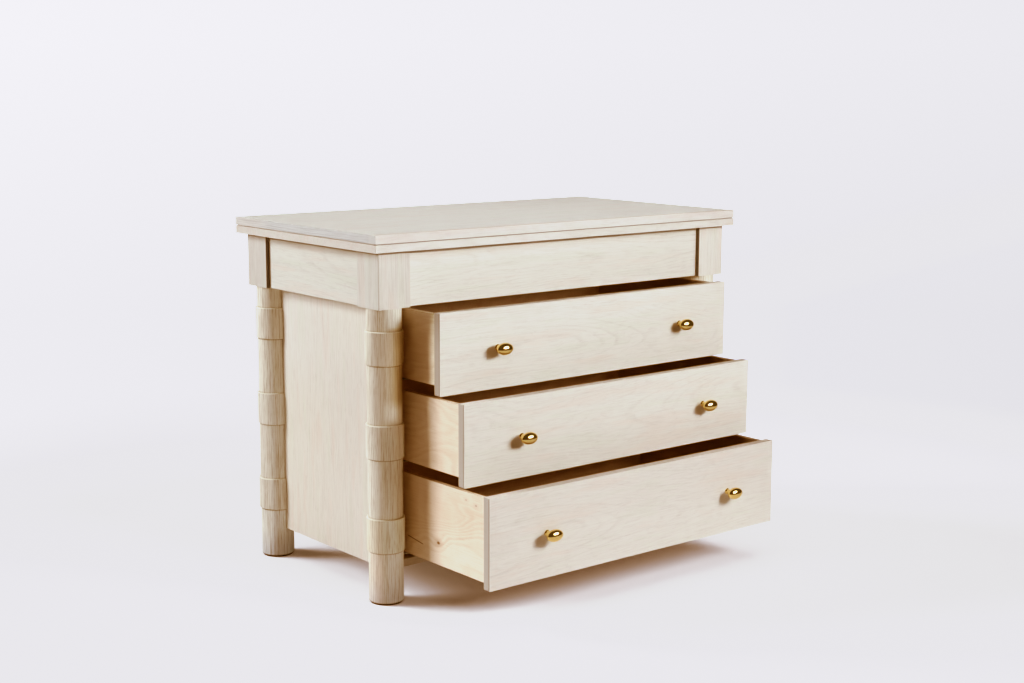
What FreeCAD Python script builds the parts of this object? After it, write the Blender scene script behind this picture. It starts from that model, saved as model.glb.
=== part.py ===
import FreeCAD, Part
import os
import Sketcher
from FreeCAD import Vector, Rotation, Placement

# Three-drawer dresser on four turned columns.
# Millimetres, +Z up. Origin on the floor, in the middle of the rest pose's
# bounding box: the dresser stands with its three drawers partly open, the
# lowest one furthest. The drawers open towards -Y, the case is centred on X.

doc = FreeCAD.newDocument("dresser")
sheet = doc.addObject("Spreadsheet::Sheet", "dims")
row = [0]


class Q:
    """A size: the expression that the model is bound to, and its value now."""

    def __init__(self, text, value):
        self.text, self.value = text, float(value)

    def __add__(self, o):
        o = q(o)
        return Q("(%s + %s)" % (self.text, o.text), self.value + o.value)

    def __radd__(self, o):
        return q(o) + self

    def __sub__(self, o):
        o = q(o)
        return Q("(%s - %s)" % (self.text, o.text), self.value - o.value)

    def __rsub__(self, o):
        return q(o) - self

    def __mul__(self, o):
        o = q(o)
        return Q("(%s * %s)" % (self.text, o.text), self.value * o.value)

    def __rmul__(self, o):
        return q(o) * self

    def __truediv__(self, o):
        o = q(o)
        return Q("(%s / %s)" % (self.text, o.text), self.value / o.value)

    def __neg__(self):
        return Q("(0 - %s)" % self.text, -self.value)


def q(v):
    return v if isinstance(v, Q) else Q(repr(float(v)), v)


def cell(alias, value, note):
    row[0] += 1
    sheet.set("A%d" % row[0], note)
    sheet.set("B%d" % row[0], str(value))
    sheet.setAlias("B%d" % row[0], alias)
    return Q("dims." + alias, value)


# ---------------------------------------------------------------- dimensions
case_y = cell("caseY", 148.5, "case centre behind the origin, rest pose box centred")
top_w = cell("topWidth", 1140, "top, left to right")
top_d = cell("topDepth", 612, "top, front to back")
total_h = cell("totalHeight", 860, "floor to top surface")
upper_t = cell("upperBoardThick", 19.5, "upper board of the top")
lower_t = cell("lowerBoardThick", 20.5, "lower board of the top, with its step")
reveal_h = cell("revealHeight", 2, "shadow groove between the two boards")
reveal_d = cell("revealDepth", 3, "depth of that groove")
lip_d = cell("lippingDepth", 26, "solid strip along the front of the upper board")

overhang = cell("overhang", 21, "top beyond the corner blocks")
block = cell("blockSide", 86, "corner block, square")
block_z = cell("blockBottom", 690, "underside of the corner blocks")
frieze_z = cell("friezeBottom", 691, "underside of the friezes")
set_front = cell("friezeSetFront", 12, "front and rear friezes behind the block faces")
set_side = cell("friezeSetSide", 9, "side friezes behind the block faces")
frieze_t = cell("friezeThick", 25, "front and rear frieze thickness")

thin_r = cell("columnRadius", 40.5, "column between the rings")
ring_r = cell("ringRadius", 44, "column at the rings")
foot_z = cell("footBottom", 3, "underside of the column wood")
ringc_lo = cell("ringLowBottom", 124, "lowest ring, bottom")
ringc_hi = cell("ringLowTop", 204, "lowest ring, top")
ringb_lo = cell("ringMidBottom", 343, "middle ring, bottom")
ringb_hi = cell("ringMidTop", 423, "middle ring, top")
ringa_lo = cell("ringTopBottom", 560, "highest ring, bottom")
ringa_hi = cell("ringTopTop", 638, "highest ring, top")
ring_f = cell("ringRound", 2.2, "rounding of the ring edges")
foot_f = cell("footRound", 2.5, "rounding of the foot")
spigot_r = cell("spigotRadius", 15, "turned spigot on the column top")
spigot_h = cell("spigotHeight", 40, "spigot into the block")
socket_h = cell("socketDepth", 42, "bore in the block for the spigot")
glide_r = cell("glideRadius", 37, "black glide under each column")

panel_t = cell("sidePanelThick", 18, "side panel")
panel_z = cell("panelBottom", 74, "underside of the panels")
house = cell("housingPlane", 20, "panel edge from the column axis")
back_t = cell("backPanelThick", 12, "back panel")
floor_t = cell("bottomPanelThick", 18, "bottom panel")
floor_y = cell("bottomPanelFront", 6, "bottom panel's front edge before the column axis")

front_w = cell("frontHalfWidth", 455, "half of a drawer front")
front_t = cell("frontThick", 22, "drawer front")
box_w = cell("boxHalfWidth", 450, "half of a drawer box")
ply = cell("boxPly", 12, "plywood of the drawer boxes")
box_l = cell("boxLength", 450, "drawer box, front to back")
bot_t = cell("boxBottomThick", 6, "plywood bottom of a drawer box")
bot_up = cell("boxBottomUp", 13, "drawer bottom above the lower edge of the sides")
groove_d = cell("grooveDepth", 6, "groove for the drawer bottom")

open_q = [cell("openTop", 113, "top drawer pulled out at rest"),
          cell("openMid", 201, "middle drawer pulled out at rest"),
          cell("openLow", 291, "bottom drawer pulled out at rest")]
front_lo = [cell("frontTopLow", 499.5, "top front, lower edge"),
            cell("frontMidLow", 307, "middle front, lower edge"),
            cell("frontLowLow", 93.5, "bottom front, lower edge")]
front_hi = [cell("frontTopHigh", 686.5, "top front, upper edge"),
            cell("frontMidHigh", 495, "middle front, upper edge"),
            cell("frontLowHigh", 302, "bottom front, upper edge")]
side_lo = [cell("sideTopLow", 520.5, "top box, lower edge of the sides"),
           cell("sideMidLow", 326.5, "middle box, lower edge of the sides"),
           cell("sideLowLow", 106, "bottom box, lower edge of the sides")]
side_hi = [cell("sideTopHigh", 682.3, "top box, upper edge of the sides"),
           cell("sideMidHigh", 490.8, "middle box, upper edge of the sides"),
           cell("sideLowHigh", 298, "bottom box, upper edge of the sides")]
knob_z = [cell("knobTopHeight", 594.2, "knobs of the top drawer"),
          cell("knobMidHeight", 402.4, "knobs of the middle drawer"),
          cell("knobLowHeight", 197, "knobs of the bottom drawer")]
knob_x = cell("knobHalfSpacing", 291.75, "knob from the middle")
egg_x = cell("eggHalfLength", 22.5, "knob, half length along the front")
egg_y = cell("eggHalfDepth", 12, "knob, half depth")
egg_z = cell("eggHalfHeight", 14.2, "knob, half height")
egg_out = cell("eggReach", 27, "knob centre before the front")
rose_r = cell("roseRadius", 7.5, "knob's round base")
rose_t = cell("roseThick", 2, "thickness of the base")
neck_r = cell("neckRadius", 5.2, "knob's neck")
screw_r = cell("screwRadius", 2, "knob screw")
hole_r = cell("screwHole", 2.3, "clearance hole for the knob screw")

cleat_in = cell("cleatFace", 454.5, "inner face of the slide cleats")
cleat_l = cell("cleatLength", 400, "slide cleat")
cleat_h = cell("cleatHeight", 60, "slide cleat")
slide_y = cell("slideFront", 5, "front end of the slides before the column axis, towards the back")
slide_l = cell("slideLength", 440, "slide members in the case")
sheet_t = cell("slideSheet", 1.5, "sheet steel of the slides")
doc.recompute()

# derived planes, case-centred
half_x = top_w / 2
half_y = top_d / 2
bx_out = half_x - overhang
by_out = half_y - overhang
bx_in = bx_out - block
by_in = by_out - block
col_x = bx_out - block / 2
col_y = by_out - block / 2
top_z = total_h - upper_t - lower_t
panel_in = col_x - panel_t
back_out = col_y + back_t / 2
back_in = col_y - back_t / 2
fr_face = by_out - set_front            # front frieze face, and closed drawer fronts
bay_front = col_y + floor_y             # front edge of the bottom panel
housed = col_y - house                  # panel edges inside the column grooves

nodes = []


# ------------------------------------------------------------------- helpers
def place(obj, x, y, z, rot=None):
    if rot is not None:
        obj.Placement = Placement(Vector(0, 0, 0), rot)
    for axis, v in (("x", q(x)), ("y", q(y)), ("z", q(z))):
        obj.setExpression("Placement.Base." + axis, v.text)


def new_body(name, node=True):
    b = doc.addObject("PartDesign::Body", name)
    b.Label = name
    if hasattr(b, "AllowCompound"):
        b.AllowCompound = True
    if node:
        nodes.append(b)
    return b


def plane(b, role):
    for f in b.Origin.OriginFeatures:
        if f.Role == role:
            return f
    raise RuntimeError("no plane " + role)


def new_sketch(b, name, role, lift=None):
    sk = b.newObject("Sketcher::SketchObject", name)
    sk.AttachmentSupport = [(plane(b, role), "")]
    sk.MapMode = "FlatFace"
    if lift is not None:
        sk.setExpression("AttachmentOffset.Base.z", q(lift).text)
    return sk


def at(sk, geo, pos, u, v):
    """Hold one point of the sketch at (u, v) from the sketch's origin."""
    for val, kind, axis in ((q(u), "DistanceX", -2), (q(v), "DistanceY", -1)):
        if abs(val.value) < 1e-9:
            sk.addConstraint(Sketcher.Constraint("PointOnObject", geo, pos, axis))
        else:
            k = sk.addConstraint(Sketcher.Constraint(kind, -1, 1, geo, pos, val.value))
            sk.setExpression("Constraints[%d]" % k, val.text)


def poly(sk, pts):
    """A closed outline through the points, every corner dimensioned."""
    pts = [(q(a), q(b)) for a, b in pts]
    n = len(pts)
    first = None
    for i in range(n):
        a, b = pts[i], pts[(i + 1) % n]
        g = sk.addGeometry(Part.LineSegment(Vector(a[0].value, a[1].value, 0),
                                            Vector(b[0].value, b[1].value, 0)), False)
        first = g if first is None else first
    for i in range(n):
        sk.addConstraint(Sketcher.Constraint("Coincident", first + i, 2, first + (i + 1) % n, 1))
    for i in range(n):
        at(sk, first + i, 1, pts[i][0], pts[i][1])


def rect(sk, u0, u1, v0, v1):
    poly(sk, [(u0, v0), (u1, v0), (u1, v1), (u0, v1)])


def circle(sk, u, v, r):
    u, v, r = q(u), q(v), q(r)
    g = sk.addGeometry(Part.Circle(Vector(u.value, v.value, 0), Vector(0, 0, 1), r.value), False)
    at(sk, g, 3, u, v)
    k = sk.addConstraint(Sketcher.Constraint("Radius", g, r.value))
    sk.setExpression("Constraints[%d]" % k, r.text)


def pad(b, sk, length, back=False, name="pad"):
    p = b.newObject("PartDesign::Pad", b.Label + "_" + name)
    p.Profile = sk
    p.setExpression("Length", q(length).text)
    p.Reversed = back
    return p


def pocket(b, sk, length, back, name):
    """Cut along the sketch's normal (back=True) or against it (False)."""
    doc.recompute()
    before = b.Shape.Volume
    p = b.newObject("PartDesign::Pocket", b.Label + "_" + name)
    p.Profile = sk
    p.setExpression("Length", q(length).text)
    p.Reversed = back
    doc.recompute()
    if not b.Shape.Volume < before - 1.0:
        raise RuntimeError("pocket cut nothing: " + b.Label + " " + name)
    return p


def board(name, x0, x1, y0, y1, z0, z1):
    """A plain board: outline on the floor plane, padded upwards."""
    x0, x1, y0, y1, z0, z1 = map(q, (x0, x1, y0, y1, z0, z1))
    b = new_body(name)
    sk = new_sketch(b, name + "_outline", "XY_Plane")
    rect(sk, 0, x1 - x0, 0, y1 - y0)
    pad(b, sk, z1 - z0)
    place(b, x0, y0 + case_y, z0)
    return b


# ----------------------------------------------------------------- the top
board("top_upper_board", -half_x, half_x, -half_y + lip_d, half_y, total_h - upper_t, total_h)
board("top_front_lipping", -half_x, half_x, -half_y, -half_y + lip_d, total_h - upper_t, total_h)

b = new_body("top_lower_board")
sk = new_sketch(b, "top_lower_outline", "XY_Plane")
rect(sk, 0, top_w, 0, top_d)
pad(b, sk, lower_t - reveal_h)
sk = new_sketch(b, "top_lower_step", "XY_Plane", lower_t - reveal_h)
rect(sk, reveal_d, top_w - reveal_d, reveal_d, top_d - reveal_d)
pad(b, sk, reveal_h, name="step")
place(b, -half_x, -half_y + case_y, top_z)

# ---------------------------------------------------------- corner blocks
corners = (("front_left", -1, -1), ("front_right", 1, -1), ("rear_left", -1, 1), ("rear_right", 1, 1))
for tag, sx, sy in corners:
    b = new_body("corner_block_" + tag)
    sk = new_sketch(b, "block_outline_" + tag, "XY_Plane")
    rect(sk, 0, block, 0, block)
    pad(b, sk, top_z - block_z)
    sk = new_sketch(b, "block_socket_" + tag, "XY_Plane")
    circle(sk, block / 2, block / 2, spigot_r)
    pocket(b, sk, socket_h, True, "socket")
    place(b, bx_in if sx > 0 else -bx_out, (by_in if sy > 0 else -by_out) + case_y, block_z)

# ---------------------------------------------------------------- columns
# Turned round post with three thicker rings, a spigot on top, and a groove
# that takes the edge of the side panel (and of the back panel at the rear).
for tag, sx, sy in corners:
    b = new_body("column_" + tag)
    sk = new_sketch(b, "column_profile_" + tag, "XZ_Plane")
    poly(sk, [(0, foot_z), (thin_r, foot_z),
              (thin_r, ringc_lo), (ring_r, ringc_lo), (ring_r, ringc_hi), (thin_r, ringc_hi),
              (thin_r, ringb_lo), (ring_r, ringb_lo), (ring_r, ringb_hi), (thin_r, ringb_hi),
              (thin_r, ringa_lo), (ring_r, ringa_lo), (ring_r, ringa_hi), (thin_r, ringa_hi),
              (thin_r, block_z), (spigot_r, block_z), (spigot_r, block_z + spigot_h),
              (0, block_z + spigot_h)])
    rev = b.newObject("PartDesign::Revolution", "column_turned_" + tag)
    rev.Profile = sk
    rev.ReferenceAxis = (sk, ["V_Axis"])
    rev.Angle = 360
    b.Tip = rev
    doc.recompute()
    rounds, foot = [], []
    for i, e in enumerate(rev.Shape.Edges):
        if hasattr(e.Curve, "Radius") and hasattr(e.Curve, "Center"):
            if abs(e.Curve.Radius - ring_r.value) < 1e-4:
                rounds.append("Edge%d" % (i + 1))
            if abs(e.Curve.Radius - thin_r.value) < 1e-4 and abs(e.Curve.Center.z - foot_z.value) < 1e-4:
                foot.append("Edge%d" % (i + 1))
    if len(rounds) != 6 or len(foot) != 1:
        raise RuntimeError("column edges not found: %d %d" % (len(rounds), len(foot)))
    fil = b.newObject("PartDesign::Fillet", "column_rounds_" + tag)
    fil.Base = (rev, rounds)
    fil.setExpression("Radius", ring_f.text)
    doc.recompute()
    foot = ["Edge%d" % (i + 1) for i, e in enumerate(fil.Shape.Edges)
            if hasattr(e.Curve, "Radius") and hasattr(e.Curve, "Center")
            and abs(e.Curve.Radius - thin_r.value) < 1e-4 and abs(e.Curve.Center.z - foot_z.value) < 1e-4]
    fil2 = b.newObject("PartDesign::Fillet", "column_foot_round_" + tag)
    fil2.Base = (fil, foot)
    fil2.setExpression("Radius", foot_f.text)
    doc.recompute()
    sk = new_sketch(b, "column_side_groove_" + tag, "XY_Plane", panel_z)
    gx0, gx1 = (-panel_t, q(0)) if sx > 0 else (q(0), panel_t)
    gy0, gy1 = (-(ring_r + 6), -house) if sy > 0 else (house, ring_r + 6)
    rect(sk, gx0, gx1, gy0, gy1)
    pocket(b, sk, block_z - panel_z + 5, True, "side_groove")
    if sy > 0:
        sk = new_sketch(b, "column_back_groove_" + tag, "XY_Plane", panel_z)
        gx0, gx1 = (-(ring_r + 6), -house) if sx > 0 else (house, ring_r + 6)
        rect(sk, gx0, gx1, -back_t / 2, back_t / 2)
        pocket(b, sk, block_z - panel_z + 5, True, "back_groove")
    place(b, sx * col_x, sy * col_y + case_y, 0)

# Black glides under the four columns.
b = new_body("foot_glides")
sk = new_sketch(b, "glide_outlines", "XY_Plane")
for tag, sx, sy in corners:
    circle(sk, sx * col_x, sy * col_y, glide_r)
pad(b, sk, foot_z)
place(b, 0, case_y, 0)

# ---------------------------------------------------------------- friezes
board("frieze_front", -bx_in, bx_in, -fr_face, -fr_face + frieze_t, frieze_z, top_z)
board("frieze_rear", -bx_in, bx_in, fr_face - frieze_t, fr_face, frieze_z, top_z)
board("frieze_left", -(bx_out - set_side), -col_x, -by_in, by_in, frieze_z, top_z)
board("frieze_right", col_x, bx_out - set_side, -by_in, by_in, frieze_z, top_z)

# ----------------------------------------------------------------- panels
# Side panel: housed in the columns below, between the blocks above.
for tag, sx in (("left", -1), ("right", 1)):
    b = new_body("side_panel_" + tag)
    sk = new_sketch(b, "side_panel_outline_" + tag, "YZ_Plane")
    step = housed - by_in
    poly(sk, [(0, 0), (2 * housed, 0), (2 * housed, block_z - panel_z), (2 * housed - step, block_z - panel_z),
              (2 * housed - step, top_z - panel_z), (step, top_z - panel_z), (step, block_z - panel_z),
              (0, block_z - panel_z)])
    pad(b, sk, panel_t)
    place(b, panel_in if sx > 0 else -col_x, -housed + case_y, panel_z)

b = new_body("back_panel")
sk = new_sketch(b, "back_panel_outline", "XZ_Plane")
hx = col_x - house
step = hx - bx_in
poly(sk, [(0, 0), (2 * hx, 0), (2 * hx, block_z - panel_z), (2 * hx - step, block_z - panel_z),
          (2 * hx - step, top_z - panel_z), (step, top_z - panel_z), (step, block_z - panel_z),
          (0, block_z - panel_z)])
pad(b, sk, back_t, back=True)
place(b, -hx, back_in + case_y, panel_z)

# Bottom panel, its four corners cut round to clear the columns.
b = new_body("bottom_panel")
sk = new_sketch(b, "bottom_outline", "XY_Plane")
rect(sk, 0, 2 * panel_in, 0, bay_front + back_in)
pad(b, sk, floor_t)
sk = new_sketch(b, "bottom_corner_cuts", "XY_Plane")
for sx in (-1, 1):
    for sy in (-1, 1):
        circle(sk, panel_in + sx * col_x, bay_front + sy * col_y, thin_r + 0.5)
pocket(b, sk, floor_t + 1, True, "corner_cuts")
place(b, -panel_in, -bay_front + case_y, panel_z)

# ------------------------------------------------------- slides in the case
for i in (0, 1, 2):
    n = str(i + 1)
    # wooden cleats on the side panels, a left and a right one
    b = new_body("slide_cleats_" + n)
    sk = new_sketch(b, "cleat_outlines_" + n, "XY_Plane")
    rect(sk, cleat_in, panel_in, -cleat_l / 2, cleat_l / 2)
    rect(sk, -panel_in, -cleat_in, -cleat_l / 2, cleat_l / 2)
    pad(b, sk, cleat_h)
    place(b, 0, case_y, side_lo[i] - 10)

    # steel rail on each cleat: a flange, a base under the drawer side, an upstand
    b = new_body("slide_rails_" + n)
    sk = new_sketch(b, "rail_profiles_" + n, "XZ_Plane")
    x0, x1 = cleat_in - 39.5, cleat_in
    for s in (1, -1):
        poly(sk, [(s * x0, 0), (s * x1, 0), (s * x1, 30), (s * (x1 - sheet_t), 30), (s * (x1 - sheet_t), sheet_t),
                  (s * (x0 + sheet_t), sheet_t), (s * (x0 + sheet_t), 9), (s * x0, 9)])
    pad(b, sk, slide_l, back=True)
    place(b, 0, -col_y + slide_y + case_y, side_lo[i] - 6)

    # middle member, halfway between the rail and the drawer
    b = new_body("slide_middles_" + n)
    sk = new_sketch(b, "middle_profiles_" + n, "XZ_Plane")
    x0, x1 = cleat_in - 36.5, cleat_in - 21.5
    for s in (1, -1):
        poly(sk, [(s * x0, 0), (s * x1, 0), (s * x1, 9.7), (s * (x1 - sheet_t), 9.7), (s * (x1 - sheet_t), sheet_t),
                  (s * (x0 + sheet_t), sheet_t), (s * (x0 + sheet_t), 9.7), (s * x0, 9.7)])
    pad(b, sk, slide_l, back=True)
    place(b, 0, -col_y + slide_y + case_y - open_q[i] / 2, side_lo[i] - 4.2)

# ----------------------------------------------------------------- drawers
for i in (0, 1, 2):
    n = "drawer_%d_" % (i + 1)
    out = case_y - open_q[i]
    zf, zs, zt, zk = front_lo[i], side_lo[i], side_hi[i], knob_z[i]
    y_face = -fr_face
    y_box = y_face + front_t
    y_in = y_box + ply
    y_end = y_box + box_l

    # visible front, drilled for the two knob screws
    b = new_body(n + "front")
    sk = new_sketch(b, n + "front_outline", "XZ_Plane")
    rect(sk, 0, 2 * front_w, 0, front_hi[i] - zf)
    for s in (-1, 1):
        circle(sk, front_w + s * knob_x, zk - zf, hole_r)
    pad(b, sk, front_t, back=True)
    place(b, -front_w, y_face + out, zf)

    # front board of the box, grooved for the bottom and drilled
    b = new_body(n + "box_front")
    sk = new_sketch(b, n + "box_front_profile", "YZ_Plane")
    poly(sk, [(0, 0), (ply, 0), (ply, bot_up), (ply - groove_d, bot_up), (ply - groove_d, bot_up + bot_t),
              (ply, bot_up + bot_t), (ply, zt - zs), (0, zt - zs)])
    pad(b, sk, 2 * (box_w - ply))
    sk = new_sketch(b, n + "box_front_holes", "XZ_Plane")
    for s in (-1, 1):
        circle(sk, box_w - ply + s * knob_x, zk - zs, hole_r)
    pocket(b, sk, ply + 1, False, "holes")
    place(b, -(box_w - ply), y_box + out, zs)

    # sides, grooved on the inner face
    for tag, s in (("left", -1), ("right", 1)):
        b = new_body(n + "side_" + tag)
        sk = new_sketch(b, n + "side_profile_" + tag, "XZ_Plane")
        inner, outer, deep = (q(0), ply, groove_d) if s > 0 else (ply, q(0), ply - groove_d)
        poly(sk, [(outer, 0), (inner, 0), (inner, bot_up), (deep, bot_up), (deep, bot_up + bot_t),
                  (inner, bot_up + bot_t), (inner, zt - zs), (outer, zt - zs)])
        pad(b, sk, box_l, back=True)
        place(b, box_w - ply if s > 0 else -box_w, y_box + out, zs)

    # back, standing on the bottom
    b = board(n + "back", -(box_w - ply), box_w - ply, y_end - ply - case_y + out, y_end - case_y + out,
              zs + bot_up + bot_t, zt)
    # bottom, in the grooves
    b = board(n + "bottom", -(box_w - ply + groove_d), box_w - ply + groove_d,
              y_in - groove_d - case_y + out, y_end - case_y + out, zs + bot_up, zs + bot_up + bot_t)

    # steel runners under the bottom, riding in the middle members
    b = new_body(n + "runners")
    sk = new_sketch(b, n + "runner_profiles", "XZ_Plane")
    x0, x1 = cleat_in - 34.5, cleat_in - 23.5
    hgt = bot_up + 2.4
    for s in (1, -1):
        poly(sk, [(s * x0, 0), (s * (x0 + sheet_t), 0), (s * (x0 + sheet_t), hgt - sheet_t),
                  (s * (x1 - sheet_t), hgt - sheet_t), (s * (x1 - sheet_t), 0), (s * x1, 0), (s * x1, hgt), (s * x0, hgt)])
    pad(b, sk, box_l - ply, back=True)
    place(b, 0, y_in + out, zs - 2.4)

    # black clips that lock the drawer to its slides
    b = new_body(n + "lock_clips")
    sk = new_sketch(b, n + "clip_profiles", "XZ_Plane")
    x0, x1 = cleat_in - 58.5, cleat_in - 41.5
    for s in (1, -1):
        poly(sk, [(s * x0, 8), (s * (x0 + 4), 0), (s * (x1 - 4), 0), (s * x1, 8), (s * x1, bot_up + 8), (s * x0, bot_up + 8)])
    pad(b, sk, 34, back=True)
    place(b, 0, y_in + out, zs - 8)

    # brass knobs: round base, short neck, oval head lying along the front
    pair, screws = [], []
    forward = Rotation(Vector(1, 0, 0), 90)
    for tag, s in (("left", -1), ("right", 1)):
        parts = []
        e = doc.addObject("Part::Ellipsoid", n + "egg_" + tag)
        e.setExpression("Radius1", egg_z.text)
        e.setExpression("Radius2", egg_x.text)
        e.setExpression("Radius3", egg_y.text)
        place(e, s * knob_x, y_face + out - egg_out, zk)
        parts.append(e)
        c = doc.addObject("Part::Cylinder", n + "rose_" + tag)
        c.setExpression("Radius", rose_r.text)
        c.setExpression("Height", rose_t.text)
        place(c, s * knob_x, y_face + out, zk, forward)
        parts.append(c)
        c = doc.addObject("Part::Cone", n + "dome_" + tag)
        c.setExpression("Radius1", (rose_r - 1).text)
        c.setExpression("Radius2", neck_r.text)
        c.Height = 4
        place(c, s * knob_x, y_face + out - rose_t, zk, forward)
        parts.append(c)
        c = doc.addObject("Part::Cylinder", n + "neck_" + tag)
        c.setExpression("Radius", neck_r.text)
        c.setExpression("Height", (egg_out - 6).text)
        place(c, s * knob_x, y_face + out, zk, forward)
        parts.append(c)
        f = doc.addObject("Part::MultiFuse", n + "knob_solid_" + tag)
        f.Shapes = parts
        t = doc.addObject("Part::Cylinder", n + "knob_thread_" + tag)
        t.setExpression("Radius", (screw_r + 0.05).text)
        t.Height = 15
        place(t, s * knob_x, y_face + out + 0.5, zk, forward)
        k = doc.addObject("Part::Cut", n + "knob_" + tag)
        k.Base, k.Tool = f, t
        pair.append(k)

        # knob screw: head inside the drawer, shank through both boards
        hd = doc.addObject("Part::Cylinder", n + "screw_head_" + tag)
        hd.setExpression("Radius", (screw_r * 2).text)
        hd.Height = 3
        place(hd, s * knob_x, y_in + out + 3, zk, forward)
        sh = doc.addObject("Part::Cylinder", n + "screw_shank_" + tag)
        sh.setExpression("Radius", screw_r.text)
        sh.setExpression("Height", (ply + front_t + 13).text)
        place(sh, s * knob_x, y_in + out + 1, zk, forward)
        sc = doc.addObject("Part::Fuse", n + "screw_" + tag)
        sc.Base, sc.Tool = hd, sh
        screws.append(sc)
    for name, links in ((n + "knobs", pair), (n + "knob_screws", screws)):
        g = doc.addObject("Part::Compound", name)
        g.Label = name
        g.Links = links
        nodes.append(g)

doc.recompute()

# ------------------------------------------------------------------- output
bad = []
for o in doc.Objects:
    if any(w in o.State for w in ("Invalid", "Error")):
        bad.append("%s %s" % (o.Name, o.State))
for o in nodes:
    if o.Shape.isNull() or not o.Shape.isValid() or not o.Shape.Solids:
        bad.append("shape " + o.Label)
if len({o.Label for o in nodes}) != len(nodes):
    bad.append("labels are not unique")
if bad:
    raise RuntimeError("; ".join(bad))

os.makedirs("parts", exist_ok=True)
box = FreeCAD.BoundBox()
for o in nodes:
    s = o.Shape
    o.Shape.exportStep("parts/%s.step" % o.Label)
    box.add(s.BoundBox)
    bb = s.BoundBox
    print("%-28s solids %d  volume %9.1f cm3  x %8.2f..%8.2f  y %8.2f..%8.2f  z %7.2f..%7.2f" % (
        o.Label, len(s.Solids), s.Volume / 1000, bb.XMin, bb.XMax, bb.YMin, bb.YMax, bb.ZMin, bb.ZMax))
print("nodes", len(nodes), "box", box)
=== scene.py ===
import math

import bmesh
import bpy
from mathutils import Matrix, Vector


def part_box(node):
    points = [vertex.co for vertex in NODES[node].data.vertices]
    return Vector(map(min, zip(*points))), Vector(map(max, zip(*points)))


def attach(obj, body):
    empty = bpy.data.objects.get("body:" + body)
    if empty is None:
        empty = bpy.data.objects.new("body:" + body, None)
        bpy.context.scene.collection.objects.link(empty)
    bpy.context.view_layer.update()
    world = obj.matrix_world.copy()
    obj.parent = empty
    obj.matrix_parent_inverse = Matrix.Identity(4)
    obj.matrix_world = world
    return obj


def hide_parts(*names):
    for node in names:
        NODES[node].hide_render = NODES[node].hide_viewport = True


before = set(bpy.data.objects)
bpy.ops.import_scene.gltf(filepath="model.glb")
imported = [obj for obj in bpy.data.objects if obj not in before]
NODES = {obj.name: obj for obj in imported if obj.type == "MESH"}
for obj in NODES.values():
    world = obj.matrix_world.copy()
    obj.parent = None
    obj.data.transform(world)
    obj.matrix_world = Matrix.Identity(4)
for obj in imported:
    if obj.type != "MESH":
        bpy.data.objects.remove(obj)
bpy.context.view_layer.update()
scene = bpy.context.scene

# ---------------------------------------------------------------- camera
cam_data = bpy.data.cameras.new("camera")
cam_data.sensor_fit = "HORIZONTAL"
cam_data.sensor_width = 36.0
cam_data.lens = 1586.44 / 1024 * 36.0
cam_data.clip_end = 60.0
cam = bpy.data.objects.new("camera", cam_data)
scene.collection.objects.link(cam)
yaw, pitch, roll = (math.radians(a) for a in (39.2616, 9.4345, 0.1841))
look = Vector((math.sin(yaw) * math.cos(pitch), math.cos(yaw) * math.cos(pitch), -math.sin(pitch)))
right = Vector((math.cos(yaw), -math.sin(yaw), 0.0))
up = right.cross(look)
cam_x = math.cos(roll) * right + math.sin(roll) * up
cam_y = -math.sin(roll) * right + math.cos(roll) * up
m = Matrix((cam_x, cam_y, -look)).transposed().to_4x4()
m.translation = Vector((-2.52536, -3.02216, 1.20115))
cam.matrix_world = m
scene.camera = cam


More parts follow.
